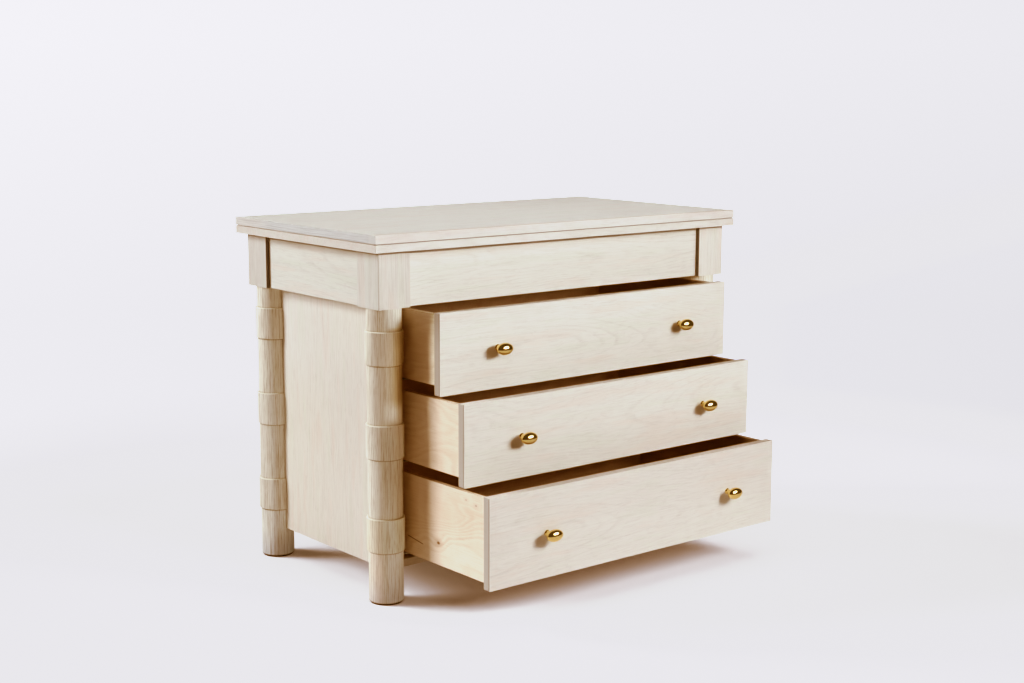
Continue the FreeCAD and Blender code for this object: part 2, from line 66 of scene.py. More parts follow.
# ---------------------------------------------------------------- node graphs
class Graph:
    def __init__(self, name):
        self.mat = bpy.data.materials.new(name)
        self.mat.use_nodes = True
        self.nt = self.mat.node_tree
        self.nt.nodes.clear()
        self.out = self.nt.nodes.new("ShaderNodeOutputMaterial")

    def put(self, sock, value):
        if isinstance(value, bpy.types.NodeSocket):
            self.nt.links.new(value, sock)
        elif value is not None:
            sock.default_value = value

    def node(self, kind, ins=None, **props):
        n = self.nt.nodes.new(kind)
        for k, v in props.items():
            setattr(n, k, v)
        for k, v in (ins or {}).items():
            self.put(n.inputs[k], v)
        return n

    def math(self, op, a, b=None, c=None, clamp=False):
        n = self.node("ShaderNodeMath", operation=op, use_clamp=clamp)
        for i, v in enumerate((a, b, c)):
            if v is not None:
                self.put(n.inputs[i], v)
        return n.outputs[0]

    def add(self, a, b):
        return self.math("ADD", a, b)

    def sub(self, a, b):
        return self.math("SUBTRACT", a, b)

    def mul(self, a, b, clamp=False):
        return self.math("MULTIPLY", a, b, clamp=clamp)

    def vec(self, op, a, b=None, scale=None):
        n = self.node("ShaderNodeVectorMath", operation=op)
        self.put(n.inputs[0], a)
        if b is not None:
            self.put(n.inputs[1], b)
        if scale is not None:
            self.put(n.inputs["Scale"], scale)
        return n.outputs["Value"] if op in ("LENGTH", "DISTANCE", "DOT_PRODUCT") else n.outputs[0]

    def xyz(self, x, y, z):
        return self.node("ShaderNodeCombineXYZ", {0: x, 1: y, 2: z}).outputs[0]

    def split(self, v):
        n = self.node("ShaderNodeSeparateXYZ", {0: v})
        return n.outputs[0], n.outputs[1], n.outputs[2]

    def noise(self, v, detail=2.0, rough=0.5, distortion=0.0, colour=False, scale=1.0):
        n = self.node("ShaderNodeTexNoise", {"Vector": v, "Scale": scale, "Detail": detail, "Roughness": rough,
                                             "Distortion": distortion})
        return n.outputs["Color" if colour else "Fac"]

    def step(self, x, lo, hi, a=0.0, b=1.0):
        n = self.node("ShaderNodeMapRange", interpolation_type="SMOOTHSTEP")
        for i, v in enumerate((x, lo, hi, a, b)):
            self.put(n.inputs[i], v)
        return n.outputs[0]

    def mix(self, f, a, b, mode="MIX"):
        n = self.node("ShaderNodeMix", data_type="RGBA", blend_type=mode, clamp_factor=True)
        self.put(n.inputs[0], f)
        self.put(n.inputs[6], rgba(a))
        self.put(n.inputs[7], rgba(b))
        return n.outputs[2]

    def shade(self, f, c, tint):
        """c times tint, by f"""
        return self.mix(f, c, tint, "MULTIPLY")

    def stretch(self, v, s, offset=(0.0, 0.0, 0.0)):
        n = self.node("ShaderNodeMapping", {"Vector": v, "Location": offset, "Scale": s})
        return n.outputs[0]

    def bump(self, height, strength, distance):
        return self.node("ShaderNodeBump", {"Strength": strength, "Distance": distance, "Height": height}).outputs[0]

    def principled(self, **ins):
        names = {"colour": "Base Color", "rough": "Roughness", "metal": "Metallic", "normal": "Normal", "ior": "IOR",
                 "spec": "Specular IOR Level", "coat": "Coat Weight", "coat_rough": "Coat Roughness"}
        p = self.node("ShaderNodeBsdfPrincipled", {names[k]: (rgba(v) if k == "colour" else v) for k, v in ins.items()})
        self.nt.links.new(p.outputs[0], self.out.inputs[0])
        return self.mat

    def object_point(self, centre):
        return self.vec("SUBTRACT", self.node("ShaderNodeTexCoord").outputs["Object"], tuple(centre))

    def facing(self, axis, lo=0.6, hi=0.8):
        """1 where the surface faces along the object's axis, either way"""
        nrm = self.node("ShaderNodeTexCoord").outputs["Normal"]
        return self.step(self.math("ABSOLUTE", self.split(nrm)[axis]), lo, hi)


def rgba(c):
    if isinstance(c, bpy.types.NodeSocket):
        return c
    return (c[0], c[1], c[2], 1.0)


def srgb(r, g, b):
    return tuple(((v / 255 + 0.055) / 1.055) ** 2.4 if v > 10 else v / 255 / 12.92 for v in (r, g, b))


def times(c, *k):
    k = k * 3 if len(k) == 1 else k
    return tuple(min(1.0, a * b) for a, b in zip(c, k))


AXES = {"X": 0, "Y": 1, "Z": 2}
STAND_IN = {}


def shown(node):
    return STAND_IN.get(node, NODES[node])


def box_of(nodes):
    lo = Vector([min(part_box(n)[0][i] for n in nodes) for i in range(3)])
    hi = Vector([max(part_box(n)[1][i] for n in nodes) for i in range(3)])
    return (lo + hi) / 2, (hi - lo) / 2


def board_axes(g, p, grain, face):
    """along the grain, across it on the main face, and into the thickness"""
    x = g.split(p)
    u, w = AXES[grain], AXES[face]
    v = 3 - u - w
    return x[u], x[v], x[w]


def edge_mask(g, p, half, near, far):
    """1 on the arrises of a box, 0 beyond a few millimetres from them"""
    a = g.vec("SUBTRACT", tuple(half), g.vec("ABSOLUTE", p))
    x, y, z = g.split(a)
    median = g.math("MAXIMUM", g.math("MINIMUM", x, y), g.math("MINIMUM", g.math("MAXIMUM", x, y), z))
    ragged = g.mul(g.sub(g.noise(g.stretch(p, (90.0, 90.0, 90.0)), 3.0), 0.5), 0.003)
    return g.step(g.add(median, ragged), near, far, 1.0, 0.0)


def paint(ob, mat):
    if not ob.data.materials:
        ob.data.materials.append(mat)
    for i in range(len(ob.data.materials)):
        ob.data.materials[i] = mat


# ---------------------------------------------------------------- timber
def oak(name, nodes, grain, face, tones, seed, ring=0.0062, depth=0.07, across=0.0, wob=0.03, taper=0.02, rings=0.24,
        fibres=0.22, pores=0.35, tone=0.5, hue=1.0, rough=0.52, coarse=1.0, tail=0.5, edge=0.2, zones=None, after=None,
        relief=0.3, wander=0.0045, flecks=0.16):
    """whitewashed open-grained oak, cut from a log whose pith lies depth behind the main face"""
    light, shade, dark = tones
    centre, half = box_of(nodes)
    g = Graph(name)
    p = g.object_point(centre)
    u, v, w = board_axes(g, p, grain, face)
    shift = Vector((seed * 3.171 % 17, seed * 1.913 % 13, seed * 2.377 % 11))
    if zones:
        # each turned ring and shaft shows its own piece of the figure
        k = 0.0
        for z in zones:
            k = g.add(k, g.math("GREATER_THAN", u, z - centre[AXES[grain]]))
        hop = g.node("ShaderNodeTexWhiteNoise", {"W": g.add(k, seed * 0.37)}, noise_dimensions="1D").outputs["Color"]
        hx, hy, hz = g.split(g.vec("SUBTRACT", hop, (0.5, 0.5, 0.5)))
        uu = g.add(u, g.mul(hx, 3.0))
        vv = g.add(v, g.mul(hy, 0.030))
        ww = g.add(w, g.mul(hz, 0.030))
    else:
        uu, vv, ww = u, v, w
    q = g.xyz(uu, vv, ww)
    low = g.noise(g.stretch(q, (1.5, 5.0, 5.0), shift), 1.5, 0.5, colour=True)
    nx, ny, nz = g.split(g.vec("SUBTRACT", low, (0.5, 0.5, 0.5)))
    small = g.sub(g.noise(g.stretch(q, (9.0, 38.0, 38.0), shift), 2.0, 0.5), 0.5)
    rv = g.add(g.sub(vv, across), g.mul(nx, wob * 2))
    rw = g.add(g.add(ww, depth), g.mul(ny, wob * 2))
    rad = g.vec("LENGTH", g.xyz(0.0, rv, rw))
    rad = g.add(g.add(rad, g.mul(uu, taper)), g.add(g.mul(nz, wob), g.mul(small, wander)))
    phase = g.mul(rad, 1.0 / ring)
    t = g.math("FRACT", phase)
    amp = g.node("ShaderNodeTexWhiteNoise", {"W": g.math("FLOOR", phase)}, noise_dimensions="1D").outputs["Value"]
    line = g.mul(g.step(t, 0.0, 0.14), g.step(t, 0.18, tail, 1.0, 0.0))
    line = g.mul(line, g.add(g.mul(amp, 0.8), 0.2))
    broken = g.noise(g.stretch(q, (5.0, 30.0, 30.0), shift), 2.0, 0.5)
    line = g.mul(line, g.step(broken, 0.34, 0.62, 0.35, 1.0))
    streak = g.noise(g.stretch(q, (1.3, 80.0, 80.0), shift), 3.0, 0.55)
    fibre = g.noise(g.stretch(q, (13.0, 430.0 * coarse, 430.0 * coarse), shift), 4.0, 0.65)
    pore = g.noise(g.stretch(q, (42.0, 1300.0 * coarse, 1300.0 * coarse), shift), 2.0, 0.6)
    pore = g.mul(g.step(pore, 0.56, 0.70), g.add(g.mul(line, 0.8), 0.2))
    cloud = g.noise(g.stretch(q, (0.9, 5.0, 5.0), shift), 2.0, 0.5)
    mottle = g.noise(g.stretch(q, (4.0, 34.0, 34.0), shift + Vector((4.0, 9.0, 2.0))), 3.0, 0.6)
    # short wavy flecks where the cut runs across the earlywood
    bend = g.mul(g.sub(g.noise(g.stretch(q, (11.0, 17.0, 17.0), shift), 1.0), 0.5), 0.030)
    fleck = g.noise(g.stretch(g.xyz(uu, g.add(vv, bend), g.add(ww, bend)), (16.0, 210.0, 210.0), shift), 3.0, 0.6)
    c = g.mix(g.mul(g.step(cloud, 0.32, 0.68), tone), light, shade)
    c = g.mix(g.mul(g.step(streak, 0.42, 0.72), 0.32 * tone + 0.06), c, shade)
    c = g.shade(g.mul(g.step(mottle, 0.52, 0.68), hue), c, (1.0, 0.962, 0.955))
    c = g.shade(g.mul(g.step(mottle, 0.48, 0.34), hue), c, (0.975, 0.995, 0.975))
    c = g.mix(g.mul(g.mul(line, rings), g.add(0.4, streak)), c, dark)
    c = g.mix(g.mul(g.step(fleck, 0.50, 0.72), flecks), c, dark)
    c = g.mix(g.mul(g.step(fleck, 0.46, 0.28), flecks * 0.6), c, times(light, 1.05))
    c = g.mix(g.mul(g.step(fibre, 0.44, 0.80), fibres), c, dark)
    c = g.mix(g.mul(pore, pores), c, times(dark, 0.66))
    if after:
        c = after(g, c, u, v, w, half, q)
    if edge:
        worn = edge_mask(g, p, half, 0.0002, 0.0026)
        c = g.mix(g.mul(worn, edge), c, tuple(min(1.0, x * 1.08 + 0.02) for x in light))
    height = g.sub(g.mul(fibre, 0.4), g.add(g.mul(pore, 1.0), g.mul(line, 0.25)))
    r = g.math("ADD", g.mul(g.sub(fibre, 0.5), 0.22), g.add(g.mul(pore, 0.12), rough), clamp=True)
    g.principled(colour=c, rough=r, normal=g.bump(height, relief, 0.0004), ior=1.42)
    for n in nodes:
        paint(shown(n), g.mat)
    return g.mat


def birch(name, nodes, grain, face, seed, tones, knots=(), crack=None, lay=0.00133, figure=0.26, rough=0.45, outside=None, painted_light_end=None):
    """rotary-cut birch plywood: wandering loops on the faces, stacked veneers on the edges"""
    light, shade, dark = tones
    centre, half = box_of(nodes)
    g = Graph(name)
    p = g.object_point(centre)
    u, v, w = board_axes(g, p, grain, face)
    shift = Vector((seed * 2.113 % 19, seed * 1.471 % 11, seed * 3.017 % 13))
    q = g.xyz(u, v, w)
    flat = g.xyz(u, v, 0.0)
    hills = g.noise(g.stretch(flat, (2.4, 8.0, 1.0), shift), 2.0, 0.45, 0.2)
    small = g.sub(g.noise(g.stretch(flat, (12.0, 42.0, 1.0), shift), 2.0, 0.5), 0.5)
    rad = g.add(g.add(g.mul(hills, 0.11), g.mul(v, 0.24)), g.mul(small, 0.005))
    spot = 0.0
    halo = 0.0
    for ku, kv, size, strength in knots:
        d = g.vec("LENGTH", g.xyz(g.mul(g.sub(u, ku), 0.62), g.sub(v, kv), 0.0))
        near = g.step(d, 0.0, size * 9.0, 1.0, 0.0)
        rad = g.add(rad, g.mul(near, 0.016 * strength))
        spot = g.math("MAXIMUM", spot, g.mul(g.step(d, size * 0.3, size * 1.2, 1.0, 0.0), strength))
        halo = g.math("MAXIMUM", halo, g.mul(g.step(d, size * 0.8, size * 4.0, 1.0, 0.0), strength * 0.5))
    phase = g.mul(rad, 1.0 / 0.0062)
    t = g.math("FRACT", phase)
    amp = g.node("ShaderNodeTexWhiteNoise", {"W": g.math("FLOOR", phase)}, noise_dimensions="1D").outputs["Value"]
    line = g.mul(g.mul(g.step(t, 0.0, 0.34), g.step(t, 0.36, 0.95, 1.0, 0.0)), g.add(g.mul(amp, 0.9), 0.1))
    fibre = g.noise(g.stretch(q, (15.0, 430.0, 430.0), shift), 4.0, 0.6)
    dash = g.noise(g.stretch(flat, (70.0, 620.0, 1.0), shift), 2.0, 0.5)
    flame = g.noise(g.stretch(flat, (34.0, 10.0, 1.0), shift), 2.0, 0.5)
    cloud = g.noise(g.stretch(flat, (1.8, 6.0, 1.0), shift), 2.0, 0.5)
    c = g.mix(g.step(cloud, 0.32, 0.70), light, shade)
    c = g.mix(g.mul(line, figure), c, dark)
    c = g.mix(g.mul(g.step(fibre, 0.45, 0.80), 0.26), c, dark)
    c = g.mix(g.mul(g.step(dash, 0.64, 0.74), 0.22), c, times(dark, 0.75))
    c = g.mix(g.mul(g.step(flame, 0.44, 0.66), 0.22), c, times(light, 1.04))
    if knots:
        c = g.mix(g.math("MULTIPLY", halo, 0.6, clamp=True), c, times(dark, 0.62, 0.50, 0.40))
        c = g.mix(g.math("MULTIPLY", spot, 0.92, clamp=True), c, (0.10, 0.035, 0.012))
    if crack:
        (u0, v0), (u1, v1) = crack
        k = (v1 - v0) / (u1 - u0)
        off = g.math("ABSOLUTE", g.sub(g.sub(v, v0), g.mul(g.sub(u, u0), k)))
        along = g.mul(g.step(u, u0 - 0.004, u0 + 0.004), g.step(u, u1 - 0.004, u1 + 0.004, 1.0, 0.0))
        c = g.mix(g.mul(g.mul(g.step(off, 0.0004, 0.0022, 1.0, 0.0), along), 0.75), c, times(dark, 0.25, 0.16, 0.10))
    # painted light: the side lighter along its front end
    if painted_light_end:
        c = g.shade(g.step(u, -half[AXES[grain]] + 0.030, -half[AXES[grain]] + 0.010), c, painted_light_end)
    # the outward face of a side painted in shade is brought back up to the lit birch colour
    if outside:
        nx = g.split(g.node("ShaderNodeTexCoord").outputs["Normal"])[0]
        c = g.shade(g.step(nx, 0.3, 0.6), c, outside)
    # edges of the sheet
    on_edge = g.sub(1.0, g.facing(AXES[face], 0.3, 0.6))
    ply = g.mul(g.add(w, half[AXES[face]]), 1.0 / lay)
    parity = g.math("PINGPONG", g.math("FLOOR", ply), 1.0)
    glue = g.step(g.math("PINGPONG", ply, 0.5), 0.0, 0.09, 1.0, 0.0)
    cross_fibre = g.noise(g.stretch(q, (700.0, 700.0, 700.0), shift), 3.0, 0.6)
    pale = g.mix(g.step(fibre, 0.35, 0.75), light, shade)
    deep = g.mix(g.step(cross_fibre, 0.35, 0.7), times(shade, 0.80), times(dark, 0.68))
    ec = g.mix(parity, pale, deep)
    ec = g.mix(g.mul(glue, 0.7), ec, times(dark, 0.45))
    c = g.mix(on_edge, c, ec)
    worn = edge_mask(g, p, half, 0.0002, 0.0020)
    c = g.mix(g.mul(worn, 0.22), c, times(light, 1.08))
    height = g.sub(g.mul(fibre, 0.5), g.add(g.mul(line, 0.2), g.mul(g.mul(glue, on_edge), 0.8)))
    r = g.math("ADD", g.mul(g.sub(fibre, 0.5), 0.2), rough, clamp=True)
    g.principled(colour=c, rough=r, normal=g.bump(height, 0.22, 0.0003), ior=1.42)
    for n in nodes:
        paint(shown(n), g.mat)
    return g.mat


def brushed(name, nodes, colour, rough, scratch=(1.0, 60.0, 60.0), stain=0.1, seed=0, relief=0.05, coarse=1.0, deep=0.55):
    """plated or turned metal with fine working marks and a little tarnish"""
    g = Graph(name)
    p = g.object_point((0.0, 0.0, 0.0))
    shift = Vector((seed * 1.3, seed * 0.7, seed * 2.1))
    fine = g.noise(g.stretch(p, tuple(s * 40.0 * coarse for s in scratch), shift), 3.0, 0.6)
    soft = g.noise(g.stretch(p, (60.0, 60.0, 60.0), shift), 3.0, 0.6)
    c = g.mix(g.mul(g.step(soft, 0.40, 0.75), stain), colour, times(colour, deep))
    c = g.mix(g.mul(g.step(fine, 0.5, 0.8), 0.12), c, times(colour, 1.2))
    r = g.math("ADD", g.add(g.mul(g.sub(fine, 0.5), rough * 0.8), g.mul(g.sub(soft, 0.4), rough * 0.7)), rough, clamp=True)
    g.principled(colour=c, metal=1.0, rough=r, normal=g.bump(fine, relief, 0.0001))
    for n in nodes:
        paint(shown(n), g.mat)
    return g.mat


def plastic(name, nodes, colour, rough, seed=0):
    g = Graph(name)
    p = g.object_point((0.0, 0.0, 0.0))
    shift = Vector((seed * 1.7, seed * 0.9, seed * 2.3))
    grit = g.noise(g.stretch(p, (1400.0, 1400.0, 1400.0), shift), 2.0, 0.6)
    haze = g.noise(g.stretch(p, (70.0, 70.0, 70.0), shift), 3.0, 0.55)
    c = g.mix(g.mul(g.step(haze, 0.4, 0.8), 0.35), colour, tuple(x * 1.9 + 0.01 for x in colour))
    r = g.math("ADD", g.mul(g.sub(haze, 0.5), 0.3), rough, clamp=True)
    g.principled(colour=c, rough=r, normal=g.bump(grit, 0.12, 0.0001), ior=1.49)
    for n in nodes:
        paint(shown(n), g.mat)
    return g.mat


# ---------------------------------------------------------------- pieces that stand in for CAD nodes
def finish_piece(bm, name, node, body, smooth):
    bmesh.ops.recalc_face_normals(bm, faces=bm.faces)
    mesh = bpy.data.meshes.new(name)
    bm.to_mesh(mesh)
    bm.free()
    for f in mesh.polygons:
        f.use_smooth = smooth
    ob = bpy.data.objects.new(name, mesh)
    scene.collection.objects.link(ob)
    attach(ob, body)
    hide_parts(node)
    STAND_IN[node] = ob
    return ob


def drilled_board(name, node, body, holes, radius, round_by):
    """a flat board with through holes, its outer arrises lightly sanded"""
    lo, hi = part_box(node)
    bm = bmesh.new()
    s = radius * 2.4
    zc = holes[0][1]
    xs = [lo.x] + [e for x, _ in holes for e in (x - s, x + s)] + [hi.x]
    zs = [lo.z, zc - s, zc + s, hi.z]
    n = 24
    grid, rims = {}, {}
    for side, y in ((0, lo.y), (1, hi.y)):
        for i, x in enumerate(xs):
            for k, z in enumerate(zs):
                grid[side, i, k] = bm.verts.new((x, y, z))
        for h, (x, z) in enumerate(holes):
            rims[side, h] = [bm.verts.new((x + radius * math.cos(a), y, z + radius * math.sin(a)))
                             for a in (math.tau * (j - n / 8) / n for j in range(n))]
        for i in range(len(xs) - 1):
            for k in range(3):
                if i % 2 == 1 and k == 1:
                    h, rim, step = (i - 1) // 2, rims[side, (i - 1) // 2], n // 4
                    corners = [grid[side, i + 1, 1], grid[side, i + 1, 2], grid[side, i, 2], grid[side, i, 1]]
                    for c in range(4):
                        arc = [rim[(c * step + j) % n] for j in range(step + 1)]
                        bm.faces.new([corners[c], corners[(c + 1) % 4]] + arc[::-1])
                else:
                    bm.faces.new([grid[side, i, k], grid[side, i + 1, k], grid[side, i + 1, k + 1], grid[side, i, k + 1]])
    last = len(xs) - 1
    ring = [(i, 0) for i in range(last)] + [(last, k) for k in range(3)] + [(i, 3) for i in range(last, 0, -1)] \
        + [(0, k) for k in range(3, 0, -1)]
    for a, b in zip(ring, ring[1:] + ring[:1]):
        bm.faces.new([grid[0, a[0], a[1]], grid[0, b[0], b[1]], grid[1, b[0], b[1]], grid[1, a[0], a[1]]])
    for h in range(len(holes)):
        for j in range(n):
            bm.faces.new([rims[0, h][j], rims[0, h][(j + 1) % n], rims[1, h][(j + 1) % n], rims[1, h][j]])
    bm.normal_update()

    def planes(v):
        return {(a, e) for a in range(3) for e in (lo[a], hi[a]) if abs(v.co[a] - e) < 1e-6}

    arrises = [e for e in bm.edges if len(planes(e.verts[0]) & planes(e.verts[1])) == 2]
    bmesh.ops.bevel(bm, geom=arrises, offset=round_by, offset_type="OFFSET", segments=2, profile=0.5, affect="EDGES",
                    clamp_overlap=True)
    return finish_piece(bm, name, node, body, False)


def lathe(bm, centre, profile, n=56):
    """profile of (radius, distance before the face), turned about the Y axis; both ends closed"""
    rows = [[bm.verts.new((centre.x + r * math.cos(a), centre.y - d, centre.z + r * math.sin(a)))
             for a in (math.tau * j / n for j in range(n))] for r, d in profile]
    for r0, r1 in zip(rows, rows[1:]):
        for j in range(n):
            bm.faces.new([r0[j], r0[(j + 1) % n], r1[(j + 1) % n], r1[j]])
    bm.faces.new(rows[0])
    bm.faces.new(rows[-1][::-1])


def egg(bm, centre, a, b, c, n=64, rows=44):
    """an oval lying along X: half length a, half depth b, half height c"""
    rings = []
    for i in range(1, rows):
        t = math.pi * i / rows
        x, s = -a * math.cos(t), math.sin(t)
        rings.append([bm.verts.new((centre.x + x, centre.y + b * s * math.cos(f), centre.z + c * s * math.sin(f)))
                      for f in (math.tau * j / n for j in range(n))])
    for r0, r1 in zip(rings, rings[1:]):
        for j in range(n):
            bm.faces.new([r0[j], r0[(j + 1) % n], r1[(j + 1) % n], r1[j]])
    for end, ring in ((-a, rings[0]), (a, rings[-1])):
        tip = bm.verts.new((centre.x + end, centre.y, centre.z))
        for j in range(n):
            bm.faces.new([tip, ring[(j + 1) % n], ring[j]])


KNOB_X = 0.29175
KNOB_Z = {1: 0.5942, 2: 0.4024, 3: 0.1970}
for i in (1, 2, 3):
    node = f"drawer_{i}_front"
    drilled_board(f"front_board_{i}", node, f"drawer_{i}", [(-KNOB_X, KNOB_Z[i]), (KNOB_X, KNOB_Z[i])],
                  0.0023, 0.0005)
    y_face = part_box(node)[0].y
    bm = bmesh.new()
    for sx in (-1, 1):
        foot = Vector((sx * KNOB_X, y_face, KNOB_Z[i]))
        egg(bm, foot + Vector((0.0, -0.027, 0.0)), 0.0225, 0.0120, 0.0142)
        lathe(bm, foot, [(0.0070, 0.0), (0.0074, 0.0003), (0.0075, 0.0008), (0.0075, 0.0014), (0.0073, 0.0018),
                         (0.0068, 0.0021), (0.0062, 0.0027), (0.0057, 0.0037), (0.0053, 0.0050), (0.0052, 0.0065),
                         (0.0052, 0.0190)])
    finish_piece(bm, f"knobs_{i}", f"drawer_{i}_knobs", f"drawer_{i}", True)

# ---------------------------------------------------------------- finishes
PALE = (srgb(218, 214, 206), srgb(210, 205, 197), srgb(172, 168, 162))
LOW_FRONT = (srgb(213, 208, 200), srgb(205, 199, 192), srgb(168, 163, 158))
PANEL = (srgb(217, 212, 201), srgb(209, 203, 193), srgb(171, 167, 158))
SIDE_PALE = (srgb(221, 220, 211), srgb(213, 210, 201), srgb(174, 172, 166))
BLOCK = (srgb(214, 212, 204), srgb(203, 199, 192), srgb(163, 161, 154))
NEAR_BLOCK = (srgb(207, 203, 195), srgb(196, 191, 185), srgb(158, 154, 148))
TOP = (srgb(223, 223, 217), srgb(217, 216, 211), srgb(178, 177, 173))
COL = (srgb(241, 237, 223), srgb(225, 219, 204), srgb(148, 139, 126))
NEAR_COL = (srgb(233, 229, 216), srgb(217, 211, 197), srgb(143, 134, 122))
FAR_COL = (srgb(228, 224, 212), srgb(213, 207, 194), srgb(144, 136, 124))
END_GREY = srgb(206, 208, 205)
END_BROWN = srgb(212, 209, 203)
FRONT_END = srgb(177, 174, 167)


def slab_end(g, c, u, v, w, half, q):
    """the upper board's ends: grey over most of the depth, browner at the back, ruled off by thin dark lines"""
    on = g.facing(0)
    wisp = g.noise(g.stretch(q, (200.0, 7.0, 420.0)), 4.0, 0.65)
    drift = g.mul(g.sub(g.noise(g.stretch(q, (1.0, 7.0, 60.0)), 2.0), 0.5), 0.10)
    grey = g.step(g.add(v, drift), 0.10, 0.22, 1.0, 0.0)
    e = g.mix(grey, END_BROWN, END_GREY)
    e = g.shade(g.step(wisp, 0.46, 0.62), e, (0.80, 0.82, 0.83))
    e = g.mix(g.mul(g.step(wisp, 0.42, 0.30), 0.4), e, c)
    ruled = g.math("MAXIMUM", g.step(w, half[2] - 0.0022, half[2] - 0.0008),
                   g.step(w, -half[2] + 0.0008, -half[2] + 0.0022, 1.0, 0.0))
    part = g.step(g.noise(g.stretch(q, (1.0, 11.0, 90.0)), 2.0, 0.6), 0.42, 0.60, 0.15, 1.0)
    e = g.shade(g.mul(g.mul(ruled, part), g.add(g.mul(grey, 0.45), 0.1)), e, (0.70, 0.71, 0.72))
    return g.mix(g.mul(on, 0.94), c, e)


def lipping_end(g, c, u, v, w, half, q):
    """the front strip's ends carry the same grey"""
    # painted shade: the strip's front face a little darker
    c = g.shade(g.facing(1), c, (0.92, 0.915, 0.935))
    return g.mix(g.mul(g.facing(0), 0.85), c, END_GREY)


def groove_painted_shade(g, c, u, v, w, half, q):
    """painted shade in the groove under the upper board, strongest along the front; the lower board's front face is
    painted a little darker too
    """
    # painted shade: the front face a little darker
    c = g.shade(g.facing(1), c, (0.91, 0.90, 0.905))
    # painted shade deep in the groove
    deep = g.step(v, half[2] - 0.0025, half[2] - 0.0019)
    front = g.step(w, -half[1] + 0.008, -half[1] + 0.014, 0.58, 0.22)
    return g.shade(g.mul(deep, front), c, (0.14, 0.13, 0.12))


def painted_shade_under_top(g, c, height, half_height, reach):
    """painted shade at the joint under the top: a thin dark line just below what the overhang hides, and a softer
    painted shadow fading further down
    """
    below = g.sub(half_height, height)
    c = g.shade(g.step(below, reach, reach + 0.0030, 0.80, 0.0), c, (0.29, 0.30, 0.33))
    return g.shade(g.step(below, reach, reach + 0.026, 0.32, 0.0), c, (0.76, 0.72, 0.69))


def under_top(g, c, u, v, w, half, q):
    # painted shade along the top of each frieze, under the overhang
    return painted_shade_under_top(g, c, v, half[2], 0.0070)


def panel_painted_light(g, c, u, v, w, half, q):
    """painted light and shade on the side panel: lighter at its upper rear, darker towards the front"""
    c = g.shade(g.mul(g.step(v, 0.09, -0.15, 0.0, 1.0), g.step(u, 0.20, 0.0, 0.0, 1.0)), c, (0.935, 0.935, 0.95))
    return g.shade(g.mul(g.step(v, -0.12, 0.14, 0.45, 1.0), g.step(u, -0.08, 0.15)), c, (1.05, 1.06, 1.09))


def mitre_and_painted_shade(sx, sy):
    def after(g, c, u, v, w, half, q):
        """the block's outer arris is a fine dark mitre; the two returns against the friezes carry painted shade, as
        does the top under the overhang, and the front left block's side face is painted lighter
        """
        # grain Z, face Y: v is x and w is y
        if (sx, sy) == (-1, -1):
            # painted light: the front left block's side face lighter
            c = g.shade(g.facing(0), c, (1.10, 1.13, 1.13))
        c = painted_shade_under_top(g, c, u, half[2], 0.0045)
        # painted shade on the two returns against the friezes
        inner = g.mul(g.facing(1), g.step(g.mul(w, sy), -half[1] + 0.0004, -half[1] + 0.0016, 1.0, 0.0))
        across = g.mul(g.facing(0), g.step(g.mul(v, sx), -half[0] + 0.0004, -half[0] + 0.0016, 1.0, 0.0))
        c = g.shade(g.mul(g.math("MAXIMUM", inner, across), 0.9), c, (0.12, 0.15, 0.22))
        far = g.math("MAXIMUM", g.sub(half[0], g.mul(v, sx)), g.sub(half[1], g.mul(w, sy)))
        return g.shade(g.mul(g.step(far, 0.0006, 0.0028, 1.0, 0.0), 0.62), c, (0.52, 0.50, 0.48))
    return after


def turned(n):
    def after(g, c, u, v, w, half, q):
        """painted shadow under the turned rings, a painted highlight on top of each, and painted light and shade along
        the stems and feet
        """
        # grain Z, face Y: v is x and w is y; across runs from -1 to 1 over the stem, from its rear left to its front right
        z = g.add(u, half[2] + 0.003)
        r = g.vec("LENGTH", g.xyz(v, w, 0.0))
        across = g.math("DIVIDE", g.sub(g.mul(v, 0.774), g.mul(w, 0.633)), r)
        return ring_painted_light(g, stem_painted_light(g, c, z, across, n), z)
    return after


